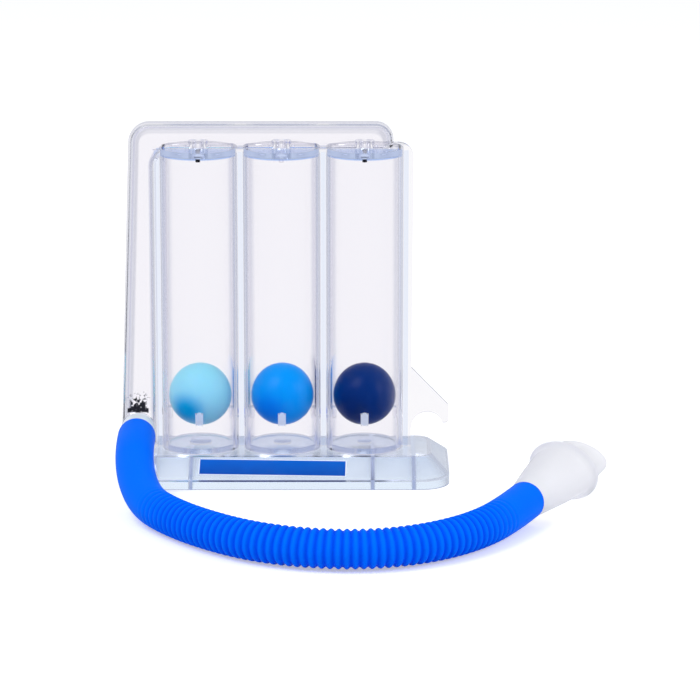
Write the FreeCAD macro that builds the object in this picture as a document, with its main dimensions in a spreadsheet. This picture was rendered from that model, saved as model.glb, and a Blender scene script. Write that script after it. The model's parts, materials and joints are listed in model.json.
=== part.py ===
import FreeCAD, Part
import math
import os
import Sketcher

# Three-chamber incentive spirometer: two clear shells joined on the middle plane hold three
# ball tubes side by side under a flat air duct, and a hose leads from the duct to a mouthpiece.
# Lengths are in millimetres. X is to the right, Y away from the user, Z up, and the origin is
# on the table under the middle of the base.

Vector = FreeCAD.Vector

SIZES = {
    # base tray, open underneath
    "base_depth": 60.0,
    "base_height": 10.5,
    "base_wall": 2.0,
    "base_corner": 12.0,
    "lip_height": 4.0,
    "plate_depth": 32.8,
    "plate_corner": 6.0,
    "plate_left_inset": 0.6,
    "plate_right_inset": 7.2,
    "plate_inset": 1.5,
    "rib_thickness": 1.6,
    "tube_rib_offset": 3.2,
    "end_rib_inset": 14.2,
    "air_notch_width": 16.0,
    "air_notch_height": 1.2,
    # tubes, and what the base leaves free at their right
    "tube_bore": 13.2,
    "tube_wall": 2.2,
    "tube_pitch": 32.9,
    "tube_clear": 1.6,
    "right_margin": 18.35,
    "cap_thickness": 2.6,
    # tube floors, which are bosses of the base, with one inlet hole each
    "floor_height": 2.2,
    "floor_gap": 0.1,
    "inlet_left": 4.5,
    "inlet_middle": 3.6,
    "inlet_right": 3.0,
    # lugs that carry the ball and pins that stop it
    "seat_reach": 1.6,
    "seat_width": 2.8,
    "seat_bottom": 22.1,
    "seat_top": 27.2,
    "seat_gap": 0.12,
    "stop_radius": 0.9,
    "stop_offset": 5.0,
    "stop_turn": 60.0,
    "stop_length": 2.5,
    "ball_radius": 12.5,
    # air duct over and beside the tubes
    "body_height": 142.4,
    "duct_height": 12.2,
    "duct_half_depth": 4.4,
    "duct_wall": 1.8,
    "duct_edge_round": 3.4,
    "duct_inside_round": 1.4,
    "duct_floor": 2.1,
    "duct_foot_inset": 0.15,
    "duct_head_inset": 4.65,
    "duct_foot_width": 14.8,
    "duct_right_inset": 4.0,
    "duct_top_corner": 8.5,
    "duct_end_corner": 7.0,
    "duct_lower_corner": 4.0,
    "duct_inner_corner": 6.0,
    "outlet_radius": 2.4,
    "collar_radius": 3.9,
    "collar_height": 2.7,
    # joint web between the tubes, and the hose hook at its right
    "web_half": 1.2,
    "web_top_margin": 4.0,
    "web_foot_margin": 3.2,
    "web_rise": 1.9,
    "web_corner": 6.0,
    "hook_root_height": 43.1,
    "hook_tip_top": 27.5,
    "hook_tip_bottom": 20.2,
    "hook_tip_round": 1.6,
    "hook_hole_inset": 8.55,
    "hook_hole_height": 18.2,
    "hook_hole_radius": 6.5,
    # hose port
    "port_inset": 7.15,
    "port_height": 18.4,
    "port_boss_radius": 7.0,
    "port_boss_proud": 1.0,
    "port_hole": 4.9,
    "port_gap": 0.05,
    "port_stub_radius": 6.8,
    "port_bore": 4.2,
    "brace_height": 7.5,
    "brace_step": 1.4,
    "brace_width": 1.4,
    "brace_spacing": 4.2,
    "brace_proud": 0.75,
    # hose and its two spigots
    "hose_start": 16.0,
    "hose_straight": 20.0,
    "hose_radius": 7.5,
    "hose_bore": 6.0,
    "spigot_gap": 0.05,
    "spigot_length": 11.0,
    "spigot_lead": 1.0,
    "spigot_lead_depth": 0.5,
    # mouthpiece
    "mouth_bore": 4.6,
    "mouth_wall": 1.5,
    "mouth_collar": 7.4,
    "flare_length": 37.0,
    "flare_half_width": 13.0,
    "flare_half_height": 10.0,
    "lip_half_width": 14.6,
    "lip_half_height": 11.6,
    "lip_thickness": 2.0,
    "bite_length": 18.0,
    "bite_half_width": 12.0,
    "bite_half_height": 7.4,
    "bite_end_half_width": 11.2,
    "bite_end_half_height": 6.0,
    "mouth_roll": 12.0,
    # bare label on the front slope
    "label_length": 58.6,
    "label_width": 9.8,
    "label_thickness": 0.2,
    "label_corner": 0.8,
    "label_shift": -4.5,
    "label_skew": 1.2,
}

# Points of the hose's route after its straight start at the port: down to the table, round the
# front of the base, and back on the right to where the mouthpiece plugs in. X is from the port,
# Y from the shells' middle plane and Z from the table.
HOSE_ROUTE = [
    (1.7, -57.5, 12.8),
    (7.0, -78.0, 8.2),
    (16.3, -95.5, 7.7),
    (30.2, -114.0, 7.7),
    (49.1, -131.4, 7.7),
    (72.1, -140.8, 7.7),
    (95.6, -141.2, 7.7),
    (117.2, -131.2, 7.7),
    (134.4, -113.6, 7.8),
    (146.0, -92.4, 8.4),
    (152.1, -79.4, 9.4),
]
# Share of the shorter of two runs that the bend between them takes up.
RUN_SHARE = 0.45
# Distance in millimetres within which two places on an edge count as the same.
SAME_PLACE = 1e-4

doc = FreeCAD.newDocument("incentive_spirometer")
sheet = doc.addObject("Spreadsheet::Sheet", "size")
for row, (alias, number) in enumerate(SIZES.items(), start=1):
    sheet.set(f"A{row}", alias)
    sheet.set(f"B{row}", str(number))
    sheet.setAlias(f"B{row}", alias)
doc.recompute()

TUBE_TOP = "(size.body_height - size.duct_height + size.duct_floor)"
CEILING = f"({TUBE_TOP} - size.cap_thickness)"
TUBE_OUTER = "(size.tube_bore + size.tube_wall)"
BASE_LENGTH = (
    "(size.duct_foot_inset + size.duct_foot_width + size.tube_clear"
    f" + 2 * {TUBE_OUTER} + 2 * size.tube_pitch + size.right_margin)"
)
HALF_LENGTH = f"({BASE_LENGTH} / 2)"
HALF_DEPTH = "(size.base_depth / 2)"
LAST_TUBE = f"({HALF_LENGTH} - size.right_margin - {TUBE_OUTER})"
FIRST_TUBE = f"({LAST_TUBE} - 2 * size.tube_pitch)"
RIGHT_WALL = f"({HALF_LENGTH} - size.right_margin)"
DUCT_INNER = f"(-{HALF_LENGTH} + size.duct_foot_inset + size.duct_foot_width)"
DUCT_RIGHT = f"({RIGHT_WALL} - size.duct_right_inset)"
PORT_PLACE = f"(-{HALF_LENGTH} + size.port_inset)"
BALL_REST = (
    "(size.seat_top + sqrt(pow(size.ball_radius + size.seat_gap; 2)"
    " - pow(size.tube_bore - size.seat_reach; 2)))"
)


def value(text):
    """Value of an expression in the sheet's sizes."""
    return float(sheet.evalExpression(text))


def new_body(name):
    body = doc.addObject("PartDesign::Body", name)
    body.Label = name
    return body


def plane_of(body, role):
    return next(f for f in body.Origin.OriginFeatures if f.Role == role)


def new_sketch(body, name, role, offset="0"):
    """Sketch on one of the body's origin planes, moved along that plane's normal."""
    sketch = body.newObject("Sketcher::SketchObject", name)
    sketch.AttachmentSupport = [(plane_of(body, role), "")]
    sketch.MapMode = "FlatFace"
    sketch.setExpression("AttachmentOffset.Base.z", offset)
    return sketch


def hold(sketch, kind, geometry, point, text):
    """Ties one coordinate of a point to an expression."""
    index = sketch.addConstraint(Sketcher.Constraint(kind, -1, 1, geometry, point, value(text)))
    sketch.setExpression(f"Constraints[{index}]", text)


def draw_polygon(sketch, corners):
    places = [Vector(value(x), value(y), 0) for x, y in corners]
    count = len(corners)
    first = sketch.GeometryCount
    for n in range(count):
        sketch.addGeometry(Part.LineSegment(places[n], places[(n + 1) % count]), False)
    for n in range(count):
        joint = (first + n, 2, first + (n + 1) % count, 1)
        sketch.addConstraint(Sketcher.Constraint("Coincident", *joint))
    for n, (x, y) in enumerate(corners):
        hold(sketch, "DistanceX", first + n, 1, x)
        hold(sketch, "DistanceY", first + n, 1, y)


def draw_circle(sketch, x, y, radius):
    centre = Vector(value(x), value(y), 0)
    index = sketch.addGeometry(Part.Circle(centre, Vector(0, 0, 1), value(radius)), False)
    hold(sketch, "DistanceX", index, 3, x)
    hold(sketch, "DistanceY", index, 3, y)
    tie = sketch.addConstraint(Sketcher.Constraint("Radius", index, value(radius)))
    sketch.setExpression(f"Constraints[{tie}]", radius)


def draw_rounded_box(sketch, left, right, low, high, corner):
    """Rectangle with four equal round corners, drawn anticlockwise from its lower side."""
    x0, x1, y0, y1 = (value(text) for text in (left, right, low, high))
    r = value(corner)
    lines = [
        ((x0 + r, y0), (x1 - r, y0)),
        ((x1, y0 + r), (x1, y1 - r)),
        ((x1 - r, y1), (x0 + r, y1)),
        ((x0, y1 - r), (x0, y0 + r)),
    ]
    centres = [(x1 - r, y0 + r), (x1 - r, y1 - r), (x0 + r, y1 - r), (x0 + r, y0 + r)]
    for start, end in lines:
        sketch.addGeometry(Part.LineSegment(Vector(*start, 0), Vector(*end, 0)), False)
    for n, (cx, cy) in enumerate(centres):
        circle = Part.Circle(Vector(cx, cy, 0), Vector(0, 0, 1), r)
        start = (n - 1) * math.pi / 2
        sketch.addGeometry(Part.ArcOfCircle(circle, start, start + math.pi / 2), False)
    for n in range(4):
        sketch.addConstraint(Sketcher.Constraint("Tangent", n, 2, 4 + n, 1))
        sketch.addConstraint(Sketcher.Constraint("Tangent", 4 + n, 2, (n + 1) % 4, 1))
    for n, kind in enumerate(("Horizontal", "Vertical", "Horizontal", "Vertical")):
        sketch.addConstraint(Sketcher.Constraint(kind, n))
    for n in range(1, 4):
        sketch.addConstraint(Sketcher.Constraint("Equal", 4, 4 + n))
    tie = sketch.addConstraint(Sketcher.Constraint("Radius", 4, r))
    sketch.setExpression(f"Constraints[{tie}]", corner)
    hold(sketch, "DistanceY", 0, 1, low)
    hold(sketch, "DistanceX", 1, 1, right)
    hold(sketch, "DistanceY", 2, 1, high)
    hold(sketch, "DistanceX", 3, 1, left)


def grow(body, kind, sketch, length, both_ways=False, backwards=False):
    """Pad or pocket of a sketch: both ways shares the length on the two sides of its plane."""
    feature = body.newObject(f"PartDesign::{kind}", f"{sketch.Name}_{kind.lower()}")
    feature.Profile = sketch
    feature.Midplane = both_ways
    feature.Reversed = backwards
    feature.setExpression("Length", length)
    sketch.Visibility = False
    return feature


def pad(body, sketch, length, **way):
    return grow(body, "Pad", sketch, length, **way)


def pocket(body, sketch, length, **way):
    return grow(body, "Pocket", sketch, length, **way)


def fillet(body, name, radius, wanted):
    """Rounds the edges of the body so far whose shape passes the test."""
    doc.recompute()
    base = body.Tip
    names = [f"Edge{n}" for n, edge in enumerate(base.Shape.Edges, start=1) if wanted(edge)]
    if not names:
        raise ValueError(f"{name}: no edge to round")
    feature = body.newObject("PartDesign::Fillet", name)
    feature.Base = (base, names)
    feature.setExpression("Radius", radius)
    return feature


def near(first, second):
    return abs(first - second) < SAME_PLACE


def runs_along_y(edge, x, z):
    """Whether an edge is the line along Y at this place of the XZ plane."""
    ends = [vertex.Point for vertex in edge.Vertexes]
    return len(ends) == 2 and all(near(p.x, x) and near(p.z, z) for p in ends)


def draw_duct(sketch, wall):
    """Outline of the duct, an inverted L, or of its inside when a wall is taken off."""
    left_foot = f"-{HALF_LENGTH} + size.duct_foot_inset + {wall}"
    left_head = f"-{HALF_LENGTH} + size.duct_head_inset + {wall}"
    inner = f"{DUCT_INNER} - {wall}"
    low = f"size.base_height + {wall}"
    top = f"size.body_height - {wall}"
    right = f"{DUCT_RIGHT} - {wall}"
    floor = TUBE_TOP if wall != "0" else f"{TUBE_TOP} - size.duct_floor"
    corners = [(left_foot, low), (inner, low), (inner, floor)]
    corners += [(right, floor), (right, top), (left_head, top)]
    draw_polygon(sketch, corners)
    return [(value(x), value(y)) for x, y in corners]


def rounded_duct(body, wall, corner_radii, edge_radius, spared_below):
    """Block of the duct's outline with round corners, and round edges above a height."""
    name = body.Name
    outline = new_sketch(body, f"{name}_outline", "XZ_Plane")
    corners = draw_duct(outline, wall)
    depth = f"(size.duct_half_depth - {wall})"
    pad(body, outline, f"2 * {depth}", both_ways=True)
    for n, (radius, corner) in enumerate(zip(corner_radii, corners[2:])):
        fillet(body, f"{name}_corner_{n}", radius, lambda edge, at=corner: runs_along_y(edge, *at))
    face = value(depth)

    def on_face(edge):
        flat = all(near(abs(v.Point.y), face) for v in edge.Vertexes)
        return flat and near(edge.BoundBox.YLength, 0) and edge.BoundBox.ZMax > spared_below

    fillet(body, f"{name}_edges", edge_radius, on_face)


def add_duct(body):
    """Flat air duct with rounded corners, hollow, down the left side and over the tubes."""
    inner, lower = "size.duct_inner_corner", "size.duct_lower_corner"
    end, top = "size.duct_end_corner", "size.duct_top_corner"
    foot = value("size.base_height + size.duct_wall / 2")
    rounded_duct(body, "0", (inner, lower, end, top), "size.duct_edge_round", foot)
    wall = "size.duct_wall"
    hollow = new_body(f"{body.Name}_hollow")
    radii = (f"{inner} + {wall}", f"{lower} - {wall}", f"{end} - {wall}", f"{top} - {wall}")
    rounded_duct(hollow, wall, radii, "size.duct_inside_round", 0)
    cut = body.newObject("PartDesign::Boolean", "duct_hollowed")
    cut.Type = "Cut"
    cut.setObjects([hollow])


def add_web(body):
    """Joint web on the middle plane: it fills between the tubes and frames the right side."""
    outline = new_sketch(body, "web", "XZ_Plane")
    left = f"{DUCT_INNER} - size.duct_wall / 2"
    step = f"{DUCT_RIGHT} - size.duct_wall / 2"
    under = f"{TUBE_TOP} - size.duct_floor / 2"
    right, top = f"{RIGHT_WALL} + size.web_top_margin", f"{TUBE_TOP} + size.web_rise"
    draw_polygon(outline, [
        (left, "size.base_height"),
        (f"{RIGHT_WALL} + size.web_foot_margin", "size.base_height"),
        (right, top),
        (step, top),
        (step, under),
        (left, under),
    ])
    pad(body, outline, "2 * size.web_half", both_ways=True)
    corner = (value(right), value(top))
    fillet(body, "web_round", "size.web_corner", lambda edge: runs_along_y(edge, *corner))


def add_hook(body):
    """Flat hook at the lower right, with a round notch that the hose lies in when stored."""
    outline = new_sketch(body, "hook", "XZ_Plane")
    edge = f"{RIGHT_WALL} + size.web_foot_margin"
    root = f"{edge} - size.web_half"
    hole = f"{HALF_LENGTH} - size.hook_hole_inset"
    draw_polygon(outline, [
        (root, "size.hook_hole_height"),
        (hole, "size.hook_hole_height"),
        (hole, "size.hook_tip_bottom"),
        (HALF_LENGTH, "size.hook_tip_bottom"),
        (HALF_LENGTH, "size.hook_tip_top"),
        (edge, "size.hook_root_height"),
        (root, "size.hook_root_height"),
    ])
    pad(body, outline, "2 * size.web_half", both_ways=True)
    tip = value(HALF_LENGTH)
    for name, height in (("hook_top_round", "size.hook_tip_top"),
                         ("hook_low_round", "size.hook_tip_bottom")):
        at = (tip, value(height))
        fillet(body, name, "size.hook_tip_round", lambda edge, at=at: runs_along_y(edge, *at))
    notch = new_sketch(body, "hook_notch", "XZ_Plane")
    draw_circle(notch, hole, "size.hook_hole_height", "size.hook_hole_radius")
    pocket(body, notch, "2 * size.web_half", both_ways=True)


def seat_lug(body, name, role, across, offset, outwards):
    """One lug on the tube's wall, round at both ends, seen along its plane's normal."""
    low = "size.seat_bottom + size.seat_width / 2"
    high = "size.seat_top - size.seat_width / 2"
    sketch = new_sketch(body, name, role, offset)
    half = "size.seat_width / 2"
    left, right = f"{across} - {half}", f"{across} + {half}"
    x0, x1, y0, y1 = (value(text) for text in (left, right, low, high))
    middle, radius = (x0 + x1) / 2, (x1 - x0) / 2
    sketch.addGeometry(Part.LineSegment(Vector(x1, y0, 0), Vector(x1, y1, 0)), False)
    top = Part.Circle(Vector(middle, y1, 0), Vector(0, 0, 1), radius)
    sketch.addGeometry(Part.ArcOfCircle(top, 0, math.pi), False)
    sketch.addGeometry(Part.LineSegment(Vector(x0, y1, 0), Vector(x0, y0, 0)), False)
    foot = Part.Circle(Vector(middle, y0, 0), Vector(0, 0, 1), radius)
    sketch.addGeometry(Part.ArcOfCircle(foot, math.pi, 2 * math.pi), False)
    for n in range(4):
        sketch.addConstraint(Sketcher.Constraint("Tangent", n, 2, (n + 1) % 4, 1))
    sketch.addConstraint(Sketcher.Constraint("Vertical", 0))
    hold(sketch, "DistanceX", 0, 1, right)
    hold(sketch, "DistanceY", 0, 1, low)
    hold(sketch, "DistanceX", 2, 1, left)
    hold(sketch, "DistanceY", 1, 3, high)
    return pad(body, sketch, "size.seat_reach + size.tube_wall / 2", backwards=not outwards)


def add_tubes(body, side):
    """Three capped tubes in a row, each with its outlet, seat lugs and stop pins."""
    tube = new_sketch(body, "tube", "XY_Plane", "size.base_height")
    draw_circle(tube, FIRST_TUBE, "0", TUBE_OUTER)
    parts = [pad(body, tube, f"{TUBE_TOP} - size.base_height")]
    collar = new_sketch(body, "collar", "XY_Plane", TUBE_TOP)
    draw_circle(collar, FIRST_TUBE, "0", "size.collar_radius")
    parts.append(pad(body, collar, "size.collar_height"))
    bore = new_sketch(body, "bore", "XY_Plane", "size.base_height")
    draw_circle(bore, FIRST_TUBE, "0", "size.tube_bore")
    parts.append(pocket(body, bore, f"{CEILING} - size.base_height", backwards=True))
    outlet = new_sketch(body, "outlet", "XY_Plane", CEILING)
    draw_circle(outlet, FIRST_TUBE, "0", "size.outlet_radius")
    parts.append(pocket(body, outlet, "size.cap_thickness + size.collar_height", backwards=True))
    inner = "(size.tube_bore - size.seat_reach)"
    offset = inner if side < 0 else f"-{inner}"
    parts.append(seat_lug(body, "seat_lug", "XZ_Plane", FIRST_TUBE, offset, side < 0))
    for name, way in (("seat_lug_left", -1), ("seat_lug_right", 1)):
        offset = f"{FIRST_TUBE} + ({way}) * {inner}"
        parts.append(seat_lug(body, name, "YZ_Plane", "0", offset, way > 0))
    turns = {"middle": 0} if side < 0 else {"left": -1, "right": 1}
    for place, share in turns.items():
        foot = f"{CEILING} - size.stop_length"
        pin = new_sketch(body, f"stop_pin_{place}", "XY_Plane", foot)
        turn = f"({share} * size.stop_turn * 1 deg)"
        x = f"{FIRST_TUBE} + size.stop_offset * sin({turn})"
        y = f"({side}) * size.stop_offset * cos({turn})"
        draw_circle(pin, x, y, "size.stop_radius")
        parts.append(pad(body, pin, "size.stop_length + size.cap_thickness / 2"))
    row = body.newObject("PartDesign::LinearPattern", "tube_row")
    row.Originals = parts
    row.Direction = (plane_of(body, "X_Axis"), [""])
    row.setExpression("Length", "2 * size.tube_pitch")
    row.Occurrences = 3
    body.Tip = row


def split_on_middle(body, side):
    """Takes away the half of the moulding that belongs to the other shell."""
    half = new_sketch(body, "other_half", "XY_Plane")
    far = f"{-side} * size.base_depth"
    draw_polygon(half, [
        (f"-{BASE_LENGTH}", "0"),
        (BASE_LENGTH, "0"),
        (BASE_LENGTH, far),
        (f"-{BASE_LENGTH}", far),
    ])
    pocket(body, half, "size.body_height + size.base_height", backwards=True)


def add_port_seat(body):
    """Round boss with the hose port's hole, low on the duct, braced by three short ribs."""
    inside = "size.duct_half_depth - size.duct_wall"
    proud = "size.duct_wall + size.port_boss_proud"
    boss = new_sketch(body, "port_boss", "XZ_Plane", inside)
    draw_circle(boss, PORT_PLACE, "size.port_height", "size.port_boss_radius")
    pad(body, boss, proud)
    top = "size.port_height + size.port_boss_radius"
    for n in (-1, 0, 1):
        rib = new_sketch(body, f"port_brace_{n + 1}", "XZ_Plane", inside)
        middle = f"{PORT_PLACE} + ({n}) * size.brace_spacing"
        low = "size.port_height + size.port_hole"
        high = f"{top} + size.brace_height - {abs(n)} * size.brace_step"
        half = "size.brace_width / 2"
        draw_polygon(rib, [
            (f"{middle} - {half}", low),
            (f"{middle} + {half}", low),
            (f"{middle} + {half}", high),
            (f"{middle} - {half}", high),
        ])
        pad(body, rib, "size.duct_wall + size.brace_proud")
    hole = new_sketch(body, "port_hole", "XZ_Plane")
    draw_circle(hole, PORT_PLACE, "size.port_height", "size.port_hole")
    pocket(body, hole, f"{inside} + {proud}", backwards=True)


def make_shell(name, side):
    """Front (side -1) or back (side 1) half of the clear body."""
    body = new_body(name)
    add_duct(body)
    add_web(body)
    add_hook(body)
    add_tubes(body, side)
    split_on_middle(body, side)
    if side < 0:
        add_port_seat(body)
    return body


def draw_lip(sketch, wall):
    draw_rounded_box(
        sketch,
        f"-{HALF_LENGTH} + {wall}", f"{HALF_LENGTH} - {wall}",
        f"-{HALF_DEPTH} + {wall}", f"{HALF_DEPTH} - {wall}",
        f"size.base_corner - {wall}",
    )


def draw_plate(sketch, inset):
    draw_rounded_box(
        sketch,
        f"-{HALF_LENGTH} + size.plate_left_inset + {inset}",
        f"{HALF_LENGTH} - size.plate_right_inset - {inset}",
        f"-size.plate_depth / 2 + {inset}", f"size.plate_depth / 2 - {inset}",
        f"size.plate_corner - {inset}",
    )


def make_base():
    """Tray with a low upright lip and sloping sides, ribbed below, with the three tube floors."""
    body = new_body("base")
    lip = new_sketch(body, "lip", "XY_Plane")
    draw_lip(lip, "0")
    pad(body, lip, "size.lip_height")
    low = new_sketch(body, "slope_foot", "XY_Plane", "size.lip_height")
    draw_lip(low, "0")
    high = new_sketch(body, "slope_top", "XY_Plane", "size.base_height")
    draw_plate(high, "0")
    slope = body.newObject("PartDesign::AdditiveLoft", "slope")
    slope.Profile = low
    slope.Sections = [high]
    slope.Ruled = True
    under = new_sketch(body, "lip_inside", "XY_Plane")
    draw_lip(under, "size.base_wall")
    pocket(body, under, "size.lip_height - size.base_wall / 2", backwards=True)
    inner_low = new_sketch(body, "inside_foot", "XY_Plane", "size.lip_height - size.base_wall / 2")
    draw_lip(inner_low, "size.base_wall")
    inner_high = new_sketch(body, "inside_top", "XY_Plane", "size.base_height - size.base_wall")
    draw_plate(inner_high, "size.plate_inset")
    inside = body.newObject("PartDesign::SubtractiveLoft", "inside")
    inside.Profile = inner_low
    inside.Sections = [inner_high]
    inside.Ruled = True
    add_ribs(body)
    add_floors(body)
    add_notches(body)
    return body


def add_ribs(body):
    """Four ribs across the tray: one outside each outer tube and one near each end."""
    end = f"({HALF_LENGTH} - size.end_rib_inset)"
    places = {
        "rib_left_end": f"-{end}",
        "rib_left": f"{FIRST_TUBE} - size.tube_rib_offset",
        "rib_right": f"{LAST_TUBE} + size.tube_rib_offset",
        "rib_right_end": end,
    }
    reach = f"({HALF_DEPTH} - size.base_wall / 2)"
    crown = "(size.plate_depth / 2 - size.base_wall / 2)"
    shoulder = "(size.lip_height - size.base_wall / 2)"
    top = "(size.base_height - size.base_wall / 2)"
    for name, place in places.items():
        rib = new_sketch(body, name, "YZ_Plane", place)
        draw_polygon(rib, [
            (f"-{reach}", "0"),
            (reach, "0"),
            (reach, shoulder),
            (crown, top),
            (f"-{crown}", top),
            (f"-{reach}", shoulder),
        ])
        pad(body, rib, "size.rib_thickness", both_ways=True)


def add_floors(body):
    """Raised round floors that close the tubes, each with its own size of inlet hole."""
    inlets = ("size.inlet_left", "size.inlet_middle", "size.inlet_right")
    for n, inlet in enumerate(inlets):
        x = f"{FIRST_TUBE} + {n} * size.tube_pitch"
        floor = new_sketch(body, f"tube_floor_{n + 1}", "XY_Plane", "size.base_height")
        draw_circle(floor, x, "0", "size.tube_bore - size.floor_gap")
        pad(body, floor, "size.floor_height")
        hole = new_sketch(body, f"inlet_{n + 1}", "XY_Plane", "size.base_height - size.base_wall")
        draw_circle(hole, x, "0", inlet)
        pocket(body, hole, "size.base_wall + size.floor_height", backwards=True)


def add_notches(body):
    """Low notches in the back of the lip, one behind each tube, that let air in below."""
    for n in range(3):
        notch = new_sketch(body, f"air_notch_{n + 1}", "XZ_Plane", f"-{HALF_DEPTH}")
        x = f"{FIRST_TUBE} + {n} * size.tube_pitch"
        half = "size.air_notch_width / 2"
        draw_polygon(notch, [
            (f"{x} - {half}", "0"),
            (f"{x} + {half}", "0"),
            (f"{x} + {half} - size.air_notch_height", "size.air_notch_height"),
            (f"{x} - {half} + size.air_notch_height", "size.air_notch_height"),
        ])
        pocket(body, notch, "size.base_wall", backwards=True)


def make_port():
    """Turned connector: a tail in the shell's hole, a stub, and the hose's spigot."""
    body = new_body("hose_port")
    body.setExpression("Placement.Base.x", PORT_PLACE)
    body.setExpression("Placement.Base.z", "size.port_height")
    inside = "-(size.duct_half_depth - size.duct_wall)"
    face = "-(size.duct_half_depth + size.port_boss_proud)"
    spigot = "(size.hose_bore - size.spigot_gap)"
    end = "(-size.hose_start - size.spigot_length)"
    profile = new_sketch(body, "port_profile", "XY_Plane")
    draw_polygon(profile, [
        ("size.port_bore", inside),
        ("size.port_bore", end),
        (f"{spigot} - size.spigot_lead_depth", end),
        (spigot, f"{end} + size.spigot_lead"),
        (spigot, "-size.hose_start"),
        ("size.port_stub_radius", "-size.hose_start"),
        ("size.port_stub_radius", face),
        ("size.port_hole - size.port_gap", face),
        ("size.port_hole - size.port_gap", inside),
    ])
    turned = body.newObject("PartDesign::Revolution", "port_turned")
    turned.Profile = profile
    turned.ReferenceAxis = (profile, ["V_Axis"])
    turned.Angle = 360
    return body


def make_ball(name, place):
    """Ball at rest on the four lugs of its tube, counted from the left."""
    ball = doc.addObject("Part::Sphere", name)
    ball.Label = name
    ball.setExpression("Radius", "size.ball_radius")
    ball.setExpression("Placement.Base.x", f"{FIRST_TUBE} + {place} * size.tube_pitch")
    ball.setExpression("Placement.Base.z", BALL_REST)
    return ball


def make_label():
    """Thin bare label stuck, slightly askew, on the front slope of the base."""
    body = new_body("label")
    run = "(size.base_depth / 2 - size.plate_depth / 2)"
    rise = "(size.base_height - size.lip_height)"
    body.Placement.Rotation = FreeCAD.Rotation(Vector(1, 0, 0), 1)
    body.setExpression("Placement.Rotation.Angle", f"atan2({rise}; {run})")
    body.setExpression("Placement.Base.x", "size.label_shift")
    body.setExpression("Placement.Base.y", "-(size.base_depth + size.plate_depth) / 4")
    body.setExpression("Placement.Base.z", "(size.lip_height + size.base_height) / 2")
    outline = new_sketch(body, "label_outline", "XY_Plane")
    outline.AttachmentOffset = FreeCAD.Placement(Vector(), FreeCAD.Rotation(Vector(0, 0, 1), -1))
    outline.setExpression("AttachmentOffset.Rotation.Angle", "-size.label_skew")
    draw_rounded_box(
        outline,
        "-size.label_length / 2", "size.label_length / 2",
        "-size.label_width / 2", "size.label_width / 2",
        "size.label_corner",
    )
    pad(body, outline, "size.label_thickness")
    return body


def hose_points():
    """Points of the whole route: it leaves the port straight, at the port's own height."""
    port = value(PORT_PLACE)
    start = Vector(port, -value("size.hose_start"), value("size.port_height"))
    leaving = start - Vector(0, value("size.hose_straight"), 0)
    return [start, leaving] + [Vector(port + x, y, z) for x, y, z in HOSE_ROUTE]


def rounded_route(points):
    """Straight runs joined by tangent arcs, each as large as its two runs allow."""
    edges = []
    radii = []
    here = points[0]
    for before, corner, after in zip(points, points[1:], points[2:]):
        back = before - corner
        ahead = after - corner
        turn = math.pi - back.getAngle(ahead)
        cut = RUN_SHARE * min(back.Length, ahead.Length)
        radii.append(cut / math.tan(turn / 2))
        back.normalize()
        ahead.normalize()
        start = corner + back * cut
        end = corner + ahead * cut
        inward = back + ahead
        inward.normalize()
        reach = radii[-1] / math.cos(turn / 2) - radii[-1]
        edges.append(Part.LineSegment(here, start).toShape())
        edges.append(Part.Arc(start, corner + inward * reach, end).toShape())
        here = end
    edges.append(Part.LineSegment(here, points[-1]).toShape())
    return Part.Wire(edges), radii


def sweep_round(path, start, heading, radius):
    ring = Part.Wire(Part.Circle(start, heading, radius).toShape())
    return path.makePipeShell([ring], True, False)


def make_hose():
    """Hose from the port's stub to the mouthpiece, with its bore open at both ends."""
    points = hose_points()
    path, radii = rounded_route(points)
    heading = points[1] - points[0]
    outer, bore = value("size.hose_radius"), value("size.hose_bore")
    wall = sweep_round(path, points[0], heading, outer)
    hollow = sweep_round(path, points[0], heading, bore)
    hose = doc.addObject("Part::Feature", "hose")
    hose.Label = "hose"
    hose.Shape = wall.cut(hollow)
    section = math.pi * (outer ** 2 - bore ** 2)
    print("hose length", round(path.Length, 2), "arc radii", [round(r, 1) for r in radii])
    print("hose volume over section times length", hose.Shape.Volume / (section * path.Length))
    return hose


def make_oval(name, half_width, half_height, height):
    oval = doc.addObject("Part::Ellipse", name)
    oval.setExpression("MajorRadius", half_width)
    oval.setExpression("MinorRadius", half_height)
    oval.setExpression("Placement.Base.z", height)
    return oval


def make_loft(name, low, high):
    loft = doc.addObject("Part::Loft", name)
    loft.Sections = [low, high]
    loft.Solid = True
    loft.Ruled = True
    return loft


def oval_stage(name, low, high):
    """Solid between two ovals, each given as half width, half height and place on the axis."""
    return make_loft(name, make_oval(f"{name}_start", *low), make_oval(f"{name}_end", *high))


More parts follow.
